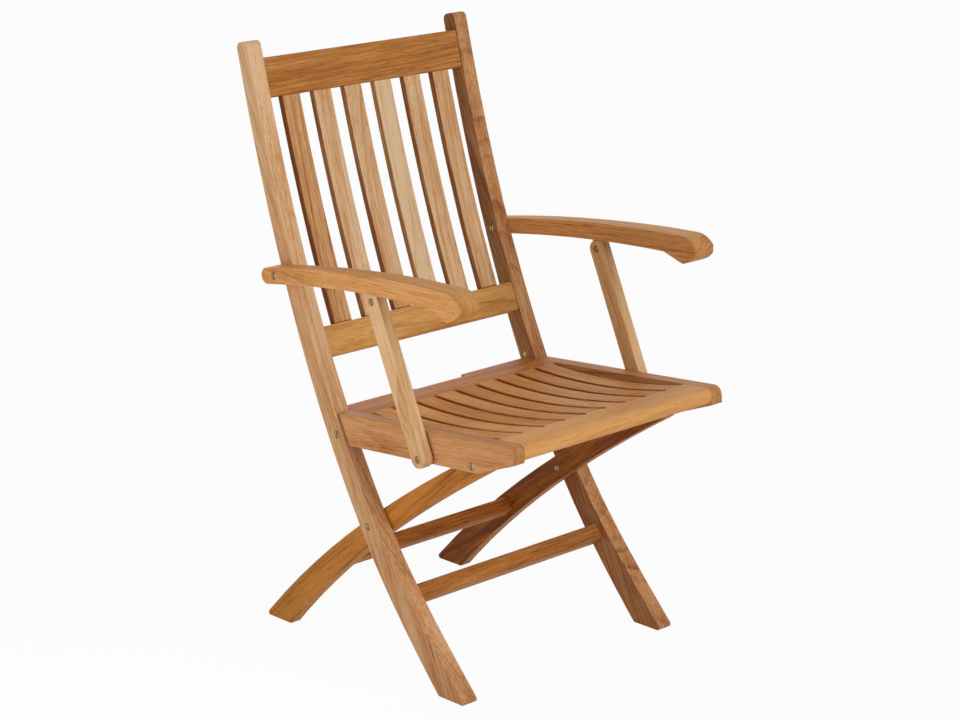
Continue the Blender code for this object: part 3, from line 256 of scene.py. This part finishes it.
# %% [markdown]
# ## Where a board lay in its tree
#
# Grain belongs to the plank, not to the chair: a curved stile is sawn across straight grain. So every point
# of a board gets three numbers that say where it lies in its plank, along it and both ways across it,
# measured from the middle of the tree. Each board has its own part of the tree, and leans a little against
# it, because a saw never quite follows the grain. That gives slanted lines and arches.
#
# Four more values ride on the mesh. Tone is how pale the board is, from its low, front or right end to its
# other end. One marks the eased arrises, which are painted a little paler, partly for wear and partly as a
# painted highlight. One marks sawn end grain. The last is painted shade: it darkens the faces that look in
# under the chair or into the gap beside a slat, where shade falls.

# %% Values that ride on a board
PITH_DISTANCE = 0.16
GOLDEN_ANGLE = 2.39996
PLANK_STEP = 0.83
SAW_LEAN = 0.03
FACING_POWER = 4


def plank_directions(points):
    """The long direction of a piece, pointing up, back or left, and the two directions across it."""
    directions = np.linalg.svd(points - points.mean(axis=0), full_matrices=False)[2]
    along = directions[0]
    if along[np.abs(along).argmax()] < 0:
        directions[0] = -along
    return directions


def write_values(mesh, domain, values):
    """Stores named numbers on the points or the faces of a mesh."""
    for name, numbers in values.items():
        attribute = mesh.attributes.new(name, "FLOAT", domain)
        attribute.data.foreach_set("value", np.asarray(numbers, dtype=float))


def write_plank(mesh, number, tones, inward_shade, side_shade, wear_and_highlight):
    """Stores where the board lay in its tree, its tone, its worn and painted-highlight arrises, its sawn
    ends and its painted shade.
    """
    points = np.array([vert.co[:] for vert in mesh.vertices])
    directions = plank_directions(points)
    places = (points - points.mean(axis=0)) @ directions.T
    run = places[:, 0]
    share = (run - run.min()) / (run.max() - run.min())
    low_tone, high_tone = tones
    write_values(mesh, "POINT", {"tone": low_tone + (high_tone - low_tone) * share, "wear_and_highlight": wear_and_highlight})
    turn = number * GOLDEN_ANGLE
    places[:, 1] += SAW_LEAN * math.cos(turn) * run
    places[:, 2] += SAW_LEAN * math.sin(turn) * run
    places += (number * PLANK_STEP, PITH_DISTANCE * math.cos(turn), PITH_DISTANCE * math.sin(turn))
    mesh.attributes.new("plank", "FLOAT_VECTOR", "POINT").data.foreach_set("vector", places.ravel())
    normals = np.array([face.normal[:] for face in mesh.polygons])
    # Painted shade: faces that look in towards the middle of the chair, and the sides of slats, are darkened
    # where shade falls.
    inward = np.clip(-np.sign(points[:, 0].mean()) * normals[:, 0], 0, 1)
    sideways = np.abs(normals[:, 0]) ** FACING_POWER
    sawn = np.abs(normals @ directions[0]) ** FACING_POWER
    write_values(mesh, "FACE", {"end": sawn, "painted_shade": inward_shade * inward + side_shade * sideways})


print("Every board lies", PITH_DISTANCE, "m from the middle of its tree")

# %% [markdown]
# ## From solid to finished board
#
# One function takes a solid, eases it, writes its plank on it and puts it in the place of the solid. A
# Weighted Normal modifier keeps the broad faces flat in the light, so that only the arrises look round.

# %% A finished board
boards = []


def board(node, body, material, arris, tones, inward_shade=0.0, side_shade=0.0):
    """Stands for a wooden solid: the same shape with eased arrises and a plank of its own."""
    shape = welded(node)
    rounded = ease_arrises(shape, arris)
    for face in shape.faces:
        face.smooth = True
    for edge in shape.edges:
        edge.smooth = len(edge.link_faces) == 2 and abs(edge.calc_face_angle_signed()) < EDGE_ANGLE
    # The eased arrises are painted a little paler: partly wear, partly a painted highlight.
    wear_and_highlight = [float(all(face in rounded for face in vert.link_faces)) for vert in shape.verts]
    mesh = bpy.data.meshes.new(node + "_wood")
    shape.to_mesh(mesh)
    shape.free()
    write_plank(mesh, len(boards), tones, inward_shade, side_shade, wear_and_highlight)
    mesh.materials.append(material)
    piece = bpy.data.objects.new(node + "_wood", mesh)
    scene.collection.objects.link(piece)
    flat_faces = piece.modifiers.new("Flat_faces", "WEIGHTED_NORMAL")
    flat_faces.keep_sharp = True
    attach(piece, body)
    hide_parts(node)
    boards.append(piece)
    return piece


print("Ready for", sum("_bolt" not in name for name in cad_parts), "pieces that aren't bolts")

# %% [markdown]
# ## Oiled teak
#
# Teak is golden to reddish brown, with growth rings a few millimetres apart, fine fibres and short dark
# pores along the grain, broad paler and darker patches, and a soft oily sheen. All of these only move the
# colour a little between the wood's dark, middle and pale brown, so the shader adds them up as one number,
# paleness, and a colour ramp turns that number into wood.
#
# The rings are distances from the middle of the tree, so they make straight lines on one face and arches on
# another, as in a real plank. Each ring darkens slowly and ends at a sharp line. The pores are drawn about
# three times as wide as real ones, because real pores would be finer than a dot of the picture.

# %% Teak
RING_MM = 6
WANDER_MM = 9
WANDER_SIZE_MM = (420, 70)
PATCH_SIZE_MM = (210, 26)
FIBRE_SIZE_MM = (110, 2.6)
PORE_SIZE_MM = (26, 0.9)
RELIEF_MM = 0.12
RING_UNEVENNESS = 1.5
LATE_WOOD_POWER = 2.5
PATTERN_MIDDLE = 0.83
OILY_ROUGHNESS = 0.45
DRY_ROUGHNESS = 0.65
TEAK_IOR = 1.46
OPEN_GRAIN_SHINE = 0.2


def per_metre(size_mm):
    """How many blobs of a pattern fit in a metre of plank: along it, and both ways across it."""
    along_mm, across_mm = size_mm
    return (1000 / along_mm, 1000 / across_mm, 1000 / across_mm)


def teak(name, dark, middle, pale):
    """Oiled teak, whose colour moves between three browns."""
    material, shader = new_material(name)
    tree = material.node_tree
    plank = add(tree, "ShaderNodeAttribute", {"attribute_name": "plank"}).outputs["Vector"]
    tone = add(tree, "ShaderNodeAttribute", {"attribute_name": "tone"}).outputs["Fac"]
    wear_and_highlight = add(tree, "ShaderNodeAttribute", {"attribute_name": "wear_and_highlight"}).outputs["Fac"]
    end = add(tree, "ShaderNodeAttribute", {"attribute_name": "end"}).outputs["Fac"]
    painted_shade = add(tree, "ShaderNodeAttribute", {"attribute_name": "painted_shade"}).outputs["Fac"]

    # Rings: the distance from the middle of the tree, which wanders along the plank.
    place = add(tree, "ShaderNodeMapping", None, {"Vector": plank, "Scale": per_metre(WANDER_SIZE_MM)})
    wander = add(tree, "ShaderNodeTexNoise", None, {"Vector": place, "Scale": 1.0, "Detail": 1.0})
    across = add(tree, "ShaderNodeVectorMath", {"operation": "MULTIPLY"}, {0: plank, 1: (0, 1, 1)})
    distance = add(tree, "ShaderNodeVectorMath", {"operation": "LENGTH"}, {0: across}).outputs["Value"]
    rings = add(tree, "ShaderNodeMath", {"operation": "MULTIPLY"}, {0: distance, 1: 1000 / RING_MM})
    sockets = {0: wander, 1: 2 * WANDER_MM / RING_MM, 2: rings}
    rings = add(tree, "ShaderNodeMath", {"operation": "MULTIPLY_ADD"}, sockets)
    uneven = add(tree, "ShaderNodeTexNoise", {"noise_dimensions": "1D"}, {"W": rings, "Scale": 0.6})
    sockets = {0: uneven, 1: RING_UNEVENNESS, 2: rings}
    rings = add(tree, "ShaderNodeMath", {"operation": "MULTIPLY_ADD"}, sockets)
    ring_share = add(tree, "ShaderNodeMath", {"operation": "FRACT"}, {0: rings})
    late_wood = add(tree, "ShaderNodeMath", {"operation": "POWER"}, {0: ring_share, 1: LATE_WOOD_POWER})
    clear_rings = add(tree, "ShaderNodeTexNoise", {"noise_dimensions": "1D"}, {"W": rings, "Scale": 0.23})
    sockets = {"Value": clear_rings, 1: 0.35, 2: 0.65}
    clear_rings = add(tree, "ShaderNodeMapRange", {"interpolation_type": "SMOOTHSTEP"}, sockets)
    ring_lines = add(tree, "ShaderNodeMath", {"operation": "MULTIPLY"}, {0: late_wood, 1: clear_rings})

    # Patches, fibres and pores: noise that is stretched along the plank.
    place = add(tree, "ShaderNodeMapping", None, {"Vector": plank, "Scale": per_metre(PATCH_SIZE_MM)})
    patches = add(tree, "ShaderNodeTexNoise", None, {"Vector": place, "Scale": 1.0, "Detail": 2.0})
    place = add(tree, "ShaderNodeMapping", None, {"Vector": plank, "Scale": per_metre(FIBRE_SIZE_MM)})
    sockets = {"Vector": place, "Scale": 1.0, "Detail": 3.0, "Roughness": 0.6}
    fibres = add(tree, "ShaderNodeTexNoise", None, sockets)
    place = add(tree, "ShaderNodeMapping", None, {"Vector": plank, "Scale": per_metre(PORE_SIZE_MM)})
    dashes = add(tree, "ShaderNodeTexNoise", None, {"Vector": place, "Scale": 1.0, "Detail": 1.0})
    sockets = {"Value": dashes, 1: 0.52, 2: 0.70}
    pores = add(tree, "ShaderNodeMapRange", {"interpolation_type": "SMOOTHSTEP"}, sockets)

    # Paleness: the board's tone, moved by each pattern by its own share.
    paleness = tone
    # Painted light: the eased arrises are a little paler, partly as a painted highlight, and the sheltered
    # faces get painted shade.
    shares = (
        (patches, 0.8), (fibres, 1.0), (ring_lines, -0.30), (pores, -0.3), (wear_and_highlight, 0.08), (end, -0.10),
        (painted_shade, -1.0),
    )
    for pattern, share in shares:
        sockets = {0: pattern, 1: share, 2: paleness}
        paleness = add(tree, "ShaderNodeMath", {"operation": "MULTIPLY_ADD"}, sockets)
    # The noise patterns lie about a half and the lines only darken, so their middle is taken off again.
    paleness = add(tree, "ShaderNodeMath", {"operation": "SUBTRACT"}, {0: paleness, 1: PATTERN_MIDDLE})
    wood = add(tree, "ShaderNodeValToRGB", None, {"Fac": paleness})
    wood.color_ramp.elements[0].color = linear(dark)
    wood.color_ramp.elements[1].color = linear(pale)
    wood.color_ramp.elements.new(0.5).color = linear(middle)
    tree.links.new(wood.outputs["Color"], shader.inputs["Base Color"])

    # Sheen and relief: the fibres stand up a little and the pores stay open, but worn edges are smooth.
    sockets = {0: wear_and_highlight, 1: -0.2, 2: fibres}
    open_grain = add(tree, "ShaderNodeMath", {"operation": "MULTIPLY_ADD"}, sockets)
    sockets = {"Value": open_grain, 1: 0.2, 2: 0.8, 3: OILY_ROUGHNESS, 4: DRY_ROUGHNESS}
    roughness = add(tree, "ShaderNodeMapRange", {"interpolation_type": "SMOOTHSTEP"}, sockets)
    tree.links.new(roughness.outputs[0], shader.inputs["Roughness"])
    height = add(tree, "ShaderNodeMath", {"operation": "MULTIPLY_ADD"}, {0: pores, 1: -0.7, 2: fibres})
    sockets = {"Height": height, "Strength": 0.5, "Distance": RELIEF_MM / 1000}
    relief = add(tree, "ShaderNodeBump", None, sockets)
    tree.links.new(relief.outputs[0], shader.inputs["Normal"])
    # Oil leaves no film on teak: its open grain takes up most of what a smooth surface would reflect.
    shader.inputs["IOR"].default_value = TEAK_IOR
    shader.inputs["Specular IOR Level"].default_value = OPEN_GRAIN_SHINE
    return material


stile_teak = teak("Oiled teak of the stiles", "#874c23", "#c68d5a", "#e3ba8e")
leg_teak = teak("Oiled teak of the rear legs", "#76370c", "#bf782f", "#d79643")
arm_teak = teak("Oiled teak of the arms", "#9d5c27", "#d59555", "#e8b377")
strut_teak = teak("Oiled teak of the struts", "#ab7339", "#dcae7a", "#e9c79b")
rail_teak = teak("Oiled teak of the back rails", "#7c4516", "#b27132", "#d7a45e")
slat_teak = teak("Oiled teak of the back slats", "#8a4c1c", "#c7905b", "#e0c099")
side_rail_teak = teak("Oiled teak of the seat sides", "#945627", "#cb8e57", "#dca87a")
seat_teak = teak("Oiled teak of the seat", "#9a5617", "#d08941", "#ebaf6a")
print("Teak materials:", sum("teak" in material.name for material in bpy.data.materials))

# %% [markdown]
# ## The stiles
#
# Each stile is a front foot, a back post and an ear in one curved board, sawn from a wide plank. Its
# arrises are eased to about three millimetres, which shows as a soft light line up the whole chair. The
# right stile is the paler board, most of all at its top.

# %% Stiles
POST_ARRIS = 0.003
# Painted shade darkens the stiles' faces that look in under the chair.
POST_PAINTED_SHADE = 0.2
POST_TONES = {"left": (0.42, 0.45), "right": (0.5, 0.92)}

for side, tones in POST_TONES.items():
    node = side + "_stile"
    piece = board(node, "back_frame", stile_teak, POST_ARRIS, tones, inward_shade=POST_PAINTED_SHADE)
    print(piece.name, len(piece.data.polygons), "faces")

# %% [markdown]
# ## The rear legs
#
# The rear legs are curved the other way and a little thinner. They stand in the shade of the seat, their
# faces that look in under the chair get painted shade, and their boards are redder than the stiles.

# %% Rear legs
LEG_ARRIS = 0.0025
# Painted shade darkens the legs' faces that look in under the chair.
LEG_PAINTED_SHADE = 0.25
LEG_TONES = {"left_leg": (0.45, 0.4), "right_leg": (0.5, 0.6), "rear_stretcher": (0.35, 0.35)}

for node, tones in LEG_TONES.items():
    piece = board(node, "rear_legs", leg_teak, LEG_ARRIS, tones, inward_shade=LEG_PAINTED_SHADE)
    print(piece.name, len(piece.data.polygons), "faces")

# %% [markdown]
# ## The back
#
# Two wide rails hold six thin slats. Each slat is its own strip of wood, so neighbours differ in colour,
# and its sides, which face the next slat, get painted shade and come out darker than its front.

# %% Back rails and slats
RAIL_ARRIS = 0.0025
SLAT_ARRIS = 0.002
RAIL_TONES = {"top_rail": (0.5, 0.5), "lower_back_rail": (0.9, 0.75), "front_stretcher": (0.4, 0.4)}
SLAT_TONES = (0.48, 0.75, 0.72, 0.95, 0.75, 0.68)
# Painted shade darkens the sides of the slats, in the gaps between them.
SIDE_PAINTED_SHADE = 0.6

for node, tones in RAIL_TONES.items():
    piece = board(node, "back_frame", rail_teak, RAIL_ARRIS, tones)
    print(piece.name, len(piece.data.polygons), "faces")
for number, tone in enumerate(SLAT_TONES, 1):
    node = f"back_slat_{number}"
    tones = (tone, tone)
    board(node, "back_frame", slat_teak, SLAT_ARRIS, tones, side_shade=SIDE_PAINTED_SHADE)
print(len(SLAT_TONES), "back slats")

# %% [markdown]
# ## The seat
#
# The seat is a frame of two deep side rails, a front rail and a rear rail with a hand-hold, with nine slats
# let in from front to back. The slats are dished, so that one sits in a shallow hollow.

# %% Seat
SIDE_RAIL_ARRIS = 0.0022
SEAT_ARRIS = 0.002
SIDE_TONES = {"left": 0.5, "right": 0.55}
CROSS_RAIL_TONES = {"seat_front_rail": 0.85, "seat_rear_rail": 0.3}
SEAT_SLAT_TONES = (0.65, 0.8, 0.55, 0.7, 0.5, 0.65, 0.6, 0.45, 0.5)

for side, tone in SIDE_TONES.items():
    tones = (tone, tone)
    board(side + "_seat_rail", "seat", side_rail_teak, SIDE_RAIL_ARRIS, tones)
for node, tone in CROSS_RAIL_TONES.items():
    board(node, "seat", seat_teak, SEAT_ARRIS, (tone, tone))
for number, tone in enumerate(SEAT_SLAT_TONES, 1):
    node = f"seat_slat_{number}"
    tones = (tone, tone)
    # The seat slats' sides, which face the gaps, get painted shade.
    board(node, "seat", seat_teak, SLAT_ARRIS, tones, side_shade=SIDE_PAINTED_SHADE)
print(len(SEAT_SLAT_TONES), "seat slats")

# %% [markdown]
# ## Arms and struts
#
# Hands rest on the arms, so they are rounded most of all, and their noses turn down. The struts are the
# palest boards of the chair.

# %% Arms and struts
ARM_ARRIS = 0.004
STRUT_ARRIS = 0.003

for side, tone in SIDE_TONES.items():
    arm = board(side + "_arm", side + "_arm_body", arm_teak, ARM_ARRIS, (tone, tone))
    strut_body = side + "_strut_body"
    strut = board(side + "_strut", strut_body, strut_teak, STRUT_ARRIS, (tone, tone))
    print(arm.name, len(arm.data.polygons), "faces;", strut.name, len(strut.data.polygons), "faces")

# %% [markdown]
# ## Brass
#
# The bolts, washers and plates are turned from yellow brass and left to go dull outdoors. Brass is a metal,
# so its colour is the colour of its reflections. Tarnish in brown patches a few millimetres wide keeps it
# from looking like plastic.

# %% Brass fittings
TARNISH_MM = 3.0
BRASS_RELIEF_MM = 0.05

turned_brass, shader = new_material("Turned yellow brass")
tree = turned_brass.node_tree
place = add(tree, "ShaderNodeTexCoord").outputs["Object"]
sockets = {"Vector": place, "Scale": 1000 / TARNISH_MM, "Detail": 3.0, "Roughness": 0.6}
patches = add(tree, "ShaderNodeTexNoise", None, sockets)
brass_colours = add(tree, "ShaderNodeValToRGB", None, {"Fac": patches})
brass_colours.color_ramp.elements[0].position = 0.35
brass_colours.color_ramp.elements[0].color = linear("#c0a27c")
brass_colours.color_ramp.elements[1].position = 0.7
brass_colours.color_ramp.elements[1].color = linear("#6b4f36")
tree.links.new(brass_colours.outputs["Color"], shader.inputs["Base Color"])
sockets = {"Value": patches, 1: 0.3, 2: 0.7, 3: 0.3, 4: 0.5}
roughness = add(tree, "ShaderNodeMapRange", {"interpolation_type": "SMOOTHSTEP"}, sockets)
tree.links.new(roughness.outputs[0], shader.inputs["Roughness"])
sockets = {"Height": patches, "Strength": 0.3, "Distance": BRASS_RELIEF_MM / 1000}
relief = add(tree, "ShaderNodeBump", None, sockets)
tree.links.new(relief.outputs[0], shader.inputs["Normal"])
shader.inputs["Metallic"].default_value = 1.0

fittings = [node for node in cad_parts.values() if not node.hide_render]
for fitting in fittings:
    fitting.data.materials.clear()
    fitting.data.materials.append(turned_brass)
print(len(fittings), "brass fittings")
